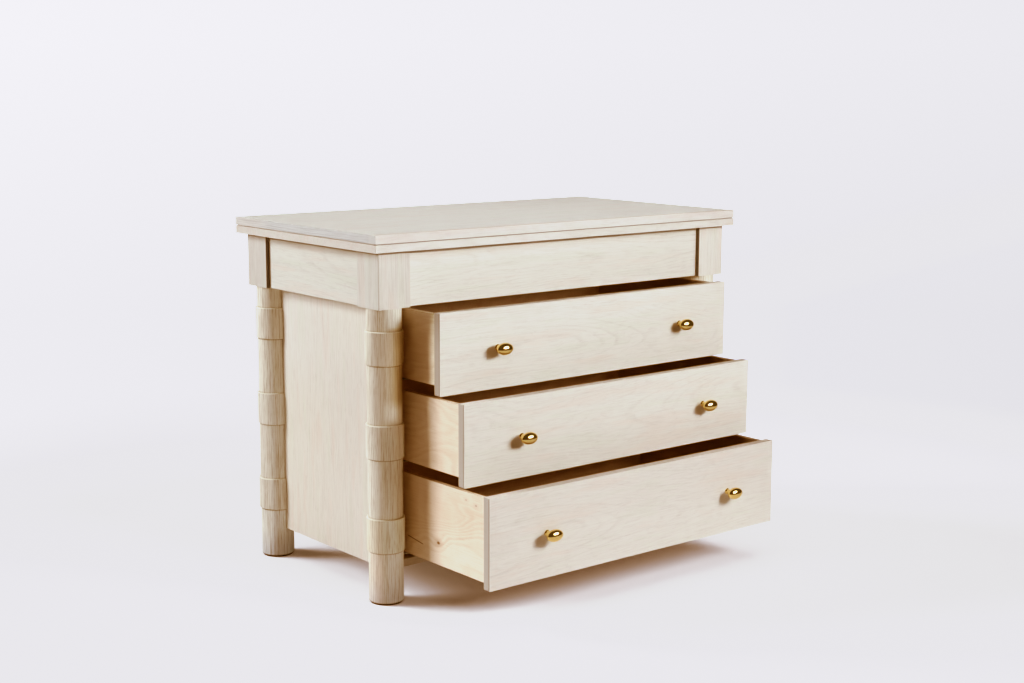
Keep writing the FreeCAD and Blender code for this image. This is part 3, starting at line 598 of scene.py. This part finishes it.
def stem_painted_light(g, c, z, across, n):
    """painted light and shade on the stems: darker on the sides towards the rear left and down the front left stem's
    right side, lighter low down and on the feet, darker close to the floor
    """
    if n == "rear_left":
        c = g.shade(g.mul(g.step(across, -0.15, -0.75), g.step(z, 0.62, 0.25)), c, (0.78, 0.78, 0.79))
        c = g.shade(g.mul(g.step(across, -0.45, 0.0), g.step(z, 0.60, 0.35, 0.35, 1.0)), c, (1.10, 1.13, 1.18))
    elif n == "front_left":
        c = g.shade(g.step(across, -0.25, -0.75, 0.0, 1.0), c, (0.94, 0.94, 0.94))
        middle = g.mul(g.step(z, 0.45, 0.49), g.step(z, 0.640, 0.650, 1.0, 0.0))
        c = g.shade(g.mul(g.step(across, 0.0, 0.45), middle), c, (0.75, 0.71, 0.67))
        c = g.shade(g.mul(g.step(across, 0.40, 0.75), middle), c, (0.90, 0.85, 0.74))
        c = g.shade(g.mul(g.step(across, -0.1, 0.35), g.step(z, 0.640, 0.650)), c, (0.86, 0.88, 0.89))
        c = g.shade(g.mul(g.step(across, -0.25, 0.45), g.step(z, 0.44, 0.38)), c, (1.08, 1.14, 1.18))
    # painted light: the feet lighter, as if lit by the floor
    foot = g.step(z, 0.118, 0.123, 1.0, 0.0)
    c = g.shade(foot, c, (1.08, 1.08, 1.07) if n == "front_left" else (1.05, 1.07, 1.09))
    if n == "front_left":
        ring = g.mul(g.step(z, 0.122, 0.125), g.step(z, 0.203, 0.206, 1.0, 0.0))
        c = g.shade(ring, c, (1.08, 1.11, 1.07))
        low = g.step(z, 0.203, 0.206, 1.0, 0.0)
        c = g.shade(g.mul(g.step(across, 0.05, -0.35), low), c, (0.91, 0.86, 0.85))
        c = g.shade(g.mul(g.step(across, -0.05, 0.35), low), c, (1.01, 1.02, 1.04))
    else:
        c = g.shade(g.mul(g.step(across, 0.15, 0.60), foot), c, (1.02, 1.05, 1.06))
    # painted shade: the feet darker towards the floor
    c = g.shade(g.mul(foot, g.step(z, 0.0, 0.085, 1.0, 0.0)), c, (0.82, 0.85, 0.92))
    # painted contact shadow along the wood's underside edge, just above the black glide
    return g.shade(g.step(z, 0.0040, 0.0070, 1.0, 0.0), c, (0.22, 0.20, 0.19))


def ring_painted_light(g, c, z):
    # painted shadow just under each ring
    for low in (0.124, 0.343, 0.560):
        c = g.shade(g.step(g.math("ABSOLUTE", g.sub(z, low - 0.0010)), 0.0008, 0.0020, 0.75, 0.0), c, (0.45, 0.42, 0.39))
    # painted highlight on each ring's top rim, painted shade in the crease just above it
    for high in (0.204, 0.423, 0.638):
        c = g.mix(g.step(g.math("ABSOLUTE", g.sub(z, high - 0.0010)), 0.0006, 0.0018, 0.55, 0.0), c, times(COL[0], 1.15))
        c = g.shade(g.step(g.math("ABSOLUTE", g.sub(z, high + 0.0012)), 0.0005, 0.0018, 0.40, 0.0), c, (0.60, 0.57, 0.54))
    return c


def front_end(g, c, u, v, w, half, q):
    """the drawer fronts' ends: layers seen edge on, with one dark glue line near the face"""
    on = g.facing(0)
    tall = g.noise(g.stretch(q, (120.0, 5.0, 420.0)), 3.0, 0.6)
    e = g.shade(g.mul(g.step(tall, 0.40, 0.72), 0.7), FRONT_END, (0.87, 0.87, 0.87))
    face_side = g.sub(0.0, w)
    glue = g.mul(g.step(face_side, half[1] - 0.0062, half[1] - 0.0046), g.step(face_side, half[1] - 0.0030, half[1] - 0.0018, 1.0, 0.0))
    e = g.shade(g.mul(glue, 0.85), e, (0.60, 0.58, 0.55))
    skin = g.step(face_side, half[1] - 0.0020, half[1] - 0.0010)
    e = g.mix(g.mul(skin, 0.55), e, c)
    return g.mix(g.mul(on, 0.95), c, e)


oak("oak_top", ["top_upper_board"], "X", "Z", TOP, 3, ring=0.0058, depth=0.16, across=0.12, wob=0.035, taper=0.012,
    rings=0.16, fibres=0.20, pores=0.3, hue=0.7, after=slab_end, edge=0.12)
oak("oak_top_lipping", ["top_front_lipping"], "X", "Y", PALE, 5, ring=0.0045, depth=0.20, rings=0.16, after=lipping_end)
oak("oak_top_lower", ["top_lower_board"], "X", "Y", PALE, 7, ring=0.0045, depth=0.24, rings=0.16, after=groove_painted_shade)
for i, (n, sx, sy) in enumerate((("front_left", -1, -1), ("front_right", 1, -1), ("rear_left", -1, 1), ("rear_right", 1, 1))):
    oak("oak_block_" + n, ["corner_block_" + n], "Z", "Y", {"front_left": NEAR_BLOCK, "front_right": PALE}.get(n, BLOCK), 11 + i * 3, ring=0.0040, depth=0.14, across=0.1, wob=0.012,
        taper=0.006, rings=0.22, fibres=0.36, tone=0.6, coarse=0.75, edge=0.0, flecks=0.10, after=mitre_and_painted_shade(sx, sy))
oak("oak_frieze_front", ["frieze_front"], "X", "Y", PALE, 23, ring=0.0050, depth=0.06, across=0.012, wob=0.034, taper=0.030,
    rings=0.20, after=under_top)
oak("oak_frieze_rear", ["frieze_rear"], "X", "Y", PALE, 26, ring=0.0050, depth=-0.06, wob=0.035, taper=0.03, after=under_top)
oak("oak_frieze_left", ["frieze_left"], "Y", "X", SIDE_PALE, 29, ring=0.0052, depth=0.16, across=0.05, wob=0.022, taper=0.02,
    rings=0.18, after=under_top)
oak("oak_frieze_right", ["frieze_right"], "Y", "X", PALE, 32, ring=0.0052, depth=-0.07, wob=0.025, taper=0.03, after=under_top)
oak("oak_panel_left", ["side_panel_left"], "Z", "X", PANEL, 35, depth=0.09, across=0.02, wob=0.030, taper=0.035, rings=0.16,
    tone=0.38, edge=0.0, after=panel_painted_light)
oak("oak_panel_right", ["side_panel_right"], "Z", "X", PALE, 38, depth=-0.09, wob=0.030, taper=0.035, rings=0.20, edge=0.0)
oak("oak_panel_back", ["back_panel"], "Z", "Y", PALE, 41, depth=-0.09, wob=0.045, taper=0.03, rings=0.20, edge=0.0)
oak("oak_panel_bottom", ["bottom_panel"], "X", "Z", PALE, 44, depth=0.09, wob=0.04, taper=0.03, rings=0.20, edge=0.0)
RING_Z = (0.124, 0.204, 0.343, 0.423, 0.560, 0.638)
for i, n in enumerate(("front_left", "front_right", "rear_left", "rear_right")):
    oak("oak_column_" + n, ["column_" + n], "Z", "Y", {"front_left": NEAR_COL, "rear_left": COL}.get(n, FAR_COL), 50 + i * 7, ring=0.0044, depth=0.045, across=0.012, wob=0.012,
        taper=0.03, rings=0.40, fibres=0.76, pores=0.65, tone=0.45, hue=0.6, coarse=0.66, flecks=0.14, after=turned(n), zones=RING_Z, edge=0.0, relief=0.4)
for i in (1, 2, 3):
    oak(f"oak_front_{i}", [f"drawer_{i}_front"], "X", "Y", LOW_FRONT if i == 3 else PALE, 80 + i * 9, ring=0.0048, depth=0.10, rings=0.18,
        across=(-0.01, 0.015, -0.02)[i - 1], wob=0.036, taper=(0.045, -0.035, 0.028)[i - 1], after=front_end)

BIRCH = (srgb(236, 219, 201), srgb(228, 208, 189), srgb(191, 165, 141))
# birch painted darker for the drawers' insides and inner faces: painted shade
BIRCH_PAINTED_SHADE = (srgb(182, 169, 160), srgb(176, 160, 150), srgb(148, 126, 112))
for i in (1, 2, 3):
    d = f"drawer_{i}_"
    if i < 3:
        birch(f"birch_side_left_{i}", [d + "side_left"], "Y", "X", 100 + i, BIRCH, painted_light_end=(1.24, 1.34, 1.33) if i == 1 else None)
    else:
        birch(f"birch_side_left_{i}", [d + "side_left"], "Y", "X", 100 + i, BIRCH,
              knots=((-0.0529, -0.0442, 0.0042, 1.0), (-0.1916, 0.0723, 0.0026, 0.45), (-0.1557, 0.0782, 0.0022, 0.35)),
              crack=((0.007, -0.0607), (0.066, -0.0528)), figure=0.34)
    birch(f"birch_side_right_{i}", [d + "side_right"], "Y", "X", 110 + i, BIRCH_PAINTED_SHADE, outside=(1.80, 1.80, 1.65))
    birch(f"birch_box_front_{i}", [d + "box_front"], "X", "Y", 120 + i, BIRCH_PAINTED_SHADE)
    birch(f"birch_back_{i}", [d + "back"], "X", "Y", 130 + i, BIRCH_PAINTED_SHADE)
    birch(f"birch_bottom_{i}", [d + "bottom"], "X", "Z", 140 + i, BIRCH_PAINTED_SHADE)
    birch(f"birch_cleats_{i}", [f"slide_cleats_{i}"], "Y", "X", 150 + i, BIRCH)

brushed("brass_knobs", [f"drawer_{i}_knobs" for i in (1, 2, 3)], (0.90, 0.67, 0.35), 0.10, (30.0, 30.0, 30.0), 0.08, 3, 0.01)
brushed("steel_screws", [f"drawer_{i}_knob_screws" for i in (1, 2, 3)], (0.55, 0.54, 0.52), 0.28, (20.0, 60.0, 20.0), 0.2, 5)
brushed("zinc_slides", [f"slide_rails_{i}" for i in (1, 2, 3)] + [f"slide_middles_{i}" for i in (1, 2, 3)]
        + [f"drawer_{i}_runners" for i in (1, 2, 3)], (0.60, 0.61, 0.62), 0.34, (60.0, 1.5, 60.0), 0.25, 9)
plastic("black_clips", [f"drawer_{i}_lock_clips" for i in (1, 2, 3)], (0.018, 0.018, 0.019), 0.45, 2)
plastic("glide_plastic", ["foot_glides"], (0.012, 0.012, 0.012), 0.60, 4)


def ease(node, width, segments=2, angle=35.0):
    """a small sanded round on every arris of a sawn part"""
    ob = NODES[node]
    weld = ob.modifiers.new("weld", "WELD")
    weld.merge_threshold = 0.00002
    b = ob.modifiers.new("ease", "BEVEL")
    b.width = width
    b.segments = segments
    b.limit_method = "ANGLE"
    b.angle_limit = math.radians(angle)
    b.harden_normals = False
    return b


for n in NODES:
    if n in STAND_IN:
        continue
    if n.startswith(("top_", "frieze_", "side_panel", "back_panel", "bottom_panel")):
        ease(n, 0.0005)
    elif n.startswith("corner_block"):
        ease(n, 0.0003)
    elif n.endswith(("side_left", "side_right", "box_front", "_back", "_bottom")) or n.startswith("slide_cleats"):
        ease(n, 0.0004)
    elif n.endswith("lock_clips"):
        ease(n, 0.0005)

# ---------------------------------------------------------------- floor
mesh = bpy.data.meshes.new("floor")
bm = bmesh.new()
bmesh.ops.create_grid(bm, x_segments=24, y_segments=24, size=7.0)
bm.to_mesh(mesh)
bm.free()
floor = bpy.data.objects.new("floor", mesh)
scene.collection.objects.link(floor)
g = Graph("studio_floor")
p = g.node("ShaderNodeTexCoord").outputs["Object"]
away = g.step(g.vec("LENGTH", p), 1.5, 2.6)
tint = g.noise(g.stretch(p, (3.0, 3.0, 3.0)), 3.0, 0.6)
paper = g.mix(g.step(tint, 0.3, 0.7), (0.795, 0.790, 0.815), (0.805, 0.800, 0.826))
diffuse = g.node("ShaderNodeBsdfDiffuse", {"Color": paper, "Roughness": 0.6}).outputs[0]
clear = g.node("ShaderNodeBsdfTransparent").outputs[0]
blend = g.node("ShaderNodeMixShader", {0: away, 1: diffuse, 2: clear}).outputs[0]
g.nt.links.new(blend, g.out.inputs[0])
floor.data.materials.append(g.mat)

# ---------------------------------------------------------------- light
POWER = {"key": 11.05, "side": 12.8, "top": 31.5, "shine": 420.0, "floor_fill": 0.24, "floor_front": 3.1, "floor_top": 1.2,
         "floor_side": 5.4, "floor_low": 1.8, "world": 0.012, "foot_fl": 0.25, "foot_fr": 0.15, "foot_rl": 0.08, "foot_rr": 0.08}
TINT = {"key": (0.995, 1.0, 1.00), "side": (1.00, 1.0, 1.02), "shine": (1.0, 1.0, 1.0), "top": (1.0, 1.0, 1.0), "world": (0.90, 0.97, 1.0)}


def aimed(ob, target):
    d = Vector(target) - ob.location
    ob.rotation_euler = d.to_track_quat("-Z", "Y").to_euler()


def softbox(name, place, target, size, even=False, soft=None):
    data = bpy.data.lights.new(name, "AREA")
    data.shape = "RECTANGLE"
    data.size, data.size_y = size
    data.energy = POWER[name]
    data.color = TINT.get(name, (1.0, 1.0, 1.0))
    ob = bpy.data.objects.new(name, data)
    scene.collection.objects.link(ob)
    ob.location = Vector(place)
    aimed(ob, target)
    ob.visible_camera = False
    if soft:
        ob.visible_diffuse = False
        data.use_nodes = True
        nt = data.node_tree
        nt.nodes.clear()
        out = nt.nodes.new("ShaderNodeOutputLight")
        emit = nt.nodes.new("ShaderNodeEmission")
        place_on = nt.nodes.new("ShaderNodeNewGeometry").outputs["Parametric"]
        off = nt.nodes.new("ShaderNodeVectorMath")
        off.operation = "DISTANCE"
        nt.links.new(place_on, off.inputs[0])
        off.inputs[1].default_value = soft
        fade = nt.nodes.new("ShaderNodeMapRange")
        fade.interpolation_type = "SMOOTHSTEP"
        for i, v in ((1, 0.46), (2, 0.02), (3, 0.0), (4, 1.0)):
            fade.inputs[i].default_value = v
        nt.links.new(off.outputs["Value"], fade.inputs[0])
        nt.links.new(fade.outputs[0], emit.inputs["Strength"])
        nt.links.new(emit.outputs[0], out.inputs[0])
    if even:
        data.use_nodes = True
        nt = data.node_tree
        nt.nodes.clear()
        out = nt.nodes.new("ShaderNodeOutputLight")
        emit = nt.nodes.new("ShaderNodeEmission")
        fall = nt.nodes.new("ShaderNodeLightFalloff")
        fall.inputs["Strength"].default_value = 1.0
        nt.links.new(fall.outputs["Constant"], emit.inputs["Strength"])
        nt.links.new(emit.outputs[0], out.inputs[0])
    return ob


def far_light(name, azimuth, elevation, angle, bounces=None):
    """azimuth 0 comes from in front of the drawers, 90 from the right"""
    data = bpy.data.lights.new(name, "SUN")
    data.energy = POWER[name]
    data.color = TINT.get(name, (1.0, 1.0, 1.0))
    data.angle = math.radians(angle)
    ob = bpy.data.objects.new(name, data)
    scene.collection.objects.link(ob)
    a, e = math.radians(azimuth), math.radians(elevation)
    ob.location = Vector((math.sin(a) * math.cos(e), -math.cos(a) * math.cos(e), math.sin(e))) * 5.0
    aimed(ob, (0.0, 0.0, 0.0))
    if bounces is not None:
        data.cycles.max_bounces = bounces
    return ob


key = softbox("key", (0.73, -2.29, 1.40), (-0.30, -0.20, 0.55), (1.10, 0.70), even=True)
side = softbox("side", (-2.67, 1.90, 1.80), (-0.30, 0.00, 0.45), (1.10, 1.70), even=True)
top = softbox("top", (0.0, -0.2, 3.2), (0.0, 0.1, 0.8), (1.8, 1.8))
shine = softbox("shine", (0.73, -2.29, 1.40), (-0.30, -0.20, 0.55), (2.4, 1.7), soft=(0.5, 0.5, 0.0))
for ob in (key, side, top):
    ob.visible_glossy = False
floor_lights = [far_light("floor_fill", 0.0, 89.0, 1.0), far_light("floor_front", 23.0, 35.0, 28.0),
                far_light("floor_top", 0.0, 89.0, 60.0, 0), far_light("floor_side", -140.0, 25.0, 24.0, 0),
                far_light("floor_low", -126.0, 18.0, 16.0, 0)]
floor_lights[0].data.use_shadow = False
only_floor = bpy.data.collections.new("lit_floor")
only_floor.objects.link(floor)
not_floor = bpy.data.collections.new("lit_object")
not_floor.objects.link(floor)
not_floor.collection_objects[0].light_linking.link_state = "EXCLUDE"
for ob in floor_lights:
    ob.light_linking.receiver_collection = only_floor
for ob in (key, side, shine):
    ob.light_linking.receiver_collection = not_floor
top_boards = bpy.data.collections.new("lit_top")
for n in ("top_upper_board", "top_front_lipping", "top_lower_board"):
    top_boards.objects.link(NODES[n])
top.light_linking.receiver_collection = top_boards
# the pale floor's own glow on the stems: one low disc round each foot
stems = bpy.data.collections.new("lit_stems")
for n in ("front_left", "front_right", "rear_left", "rear_right"):
    stems.objects.link(NODES["column_" + n])
for name, n in (("foot_fl", "front_left"), ("foot_fr", "front_right"), ("foot_rl", "rear_left"), ("foot_rr", "rear_right")):
    x, y = box_of(["column_" + n])[0][:2]
    ob = softbox(name, (x, y, 0.004), (x, y, 1.0), (0.56, 0.56))
    ob.data.shape = "DISK"
    ob.data.use_shadow = False
    ob.visible_glossy = False
    ob.light_linking.receiver_collection = stems

# ---------------------------------------------------------------- the print: warm in the shade, floor held just under white
PRINT = ((0.785, 0.803, ((0.0, 0.86), (0.10, 0.83), (0.16, 0.80), (0.22, 0.79), (0.31, 0.82), (0.46, 0.88), (0.73, 0.89))),
         (0.780, 0.795, ((0.0, 1.17), (0.73, 1.17))),
         (0.805, 0.826, ((0.0, 1.72), (0.10, 1.66), (0.16, 1.60), (0.22, 1.58), (0.31, 1.42), (0.46, 1.31), (0.73, 1.24))))


def printed(x, c):
    white, top_tone, powers = PRINT[c]
    knee = 0.73
    at = min(x, knee)
    for (xa, pa), (xb, pb) in zip(powers, powers[1:]):
        if at <= xb:
            power = pa + (pb - pa) * (at - xa) / (xb - xa)
            break
    if x <= knee:
        return white * (max(x, 0.0) / white) ** power
    y0 = white * (knee / white) ** power
    slope = power * y0 / knee
    room = top_tone - y0
    y = y0 + room * (1.0 - math.exp(-(x - knee) * slope / room))
    return y + 0.075 * max(0.0, x - 1.35)


def unprinted(y, c):
    lo, hi = 0.0, 8.0
    for _ in range(50):
        mid = (lo + hi) / 2
        lo, hi = (mid, hi) if printed(mid, c) < y else (lo, mid)
    return lo


# ---------------------------------------------------------------- backdrop
world = bpy.data.worlds.new("studio")
scene.world = world
world.use_nodes = True
wt = world.node_tree
wt.nodes.clear()


def w_node(kind, ins=None, **props):
    n = wt.nodes.new(kind)
    for k, v in props.items():
        setattr(n, k, v)
    for k, v in (ins or {}).items():
        if isinstance(v, bpy.types.NodeSocket):
            wt.links.new(v, n.inputs[k])
        else:
            n.inputs[k].default_value = v
    return n


ray = w_node("ShaderNodeTexCoord").outputs["Generated"]
across = w_node("ShaderNodeVectorMath", {0: ray, 1: (0.774, -0.633, 0.0)}, operation="DOT_PRODUCT").outputs["Value"]
height = w_node("ShaderNodeSeparateXYZ", {0: ray}).outputs[2]
rise = w_node("ShaderNodeMapRange", {0: height, 1: -0.14, 2: 0.02, 3: 0.0, 4: 0.42}).outputs[0]
lean = w_node("ShaderNodeMapRange", {0: across, 1: -0.32, 2: 0.32, 3: 0.55, 4: 0.0}).outputs[0]
level = w_node("ShaderNodeMath", {0: rise, 1: lean}, operation="ADD").outputs[0]
ramp = w_node("ShaderNodeValToRGB", {0: level})
stops = ramp.color_ramp.elements
while len(stops) < 9:
    stops.new(0.5)
for i, stop in enumerate(stops):
    stop.position = i / 8
for i, stop in enumerate(ramp.color_ramp.elements):
    k = 0.955 + 0.155 * i / 8
    stop.color = tuple(unprinted(v * k, c) for c, v in enumerate((0.8115, 0.8040, 0.8430))) + (1.0,)
w_back = w_node("ShaderNodeBackground", {0: ramp.outputs[0], 1: 1.0})
w_dark = w_node("ShaderNodeBackground", {0: (0.6, 0.85, 1.0, 1.0), 1: 0.09})
w_fill = w_node("ShaderNodeBackground", {0: rgba(TINT["world"]), 1: POWER["world"]})
w_path = w_node("ShaderNodeLightPath")
w_soft = w_node("ShaderNodeMixShader", {0: w_path.outputs["Is Glossy Ray"], 1: w_fill.outputs[0], 2: w_dark.outputs[0]})
w_mix = w_node("ShaderNodeMixShader", {0: w_path.outputs["Is Camera Ray"], 1: w_soft.outputs[0], 2: w_back.outputs[0]})
w_node("ShaderNodeOutputWorld", {0: w_mix.outputs[0]})

scene.view_settings.view_transform = "Standard"
scene.view_settings.look = "None"
scene.view_settings.exposure = 0.0
scene.view_settings.gamma = 1.0
scene.view_settings.use_curve_mapping = True
curves = scene.view_settings.curve_mapping
curves.use_clip = False
XS = [0.0, 0.005, 0.012, 0.022, 0.035, 0.05, 0.07, 0.10, 0.14, 0.19, 0.25, 0.32, 0.40, 0.49, 0.58, 0.66, 0.73, 0.77, 0.82, 0.90, 1.0,
      1.15, 1.35, 1.7, 2.2, 3.0]
for c in range(3):
    points = curves.curves[c].points
    while len(points) < len(XS):
        points.new(0.5, 0.5)
    for pt, x in zip(points, XS):
        pt.location = (x, printed(x, c))
        pt.handle_type = "VECTOR"
curves.extend = "EXTRAPOLATED"
curves.update()
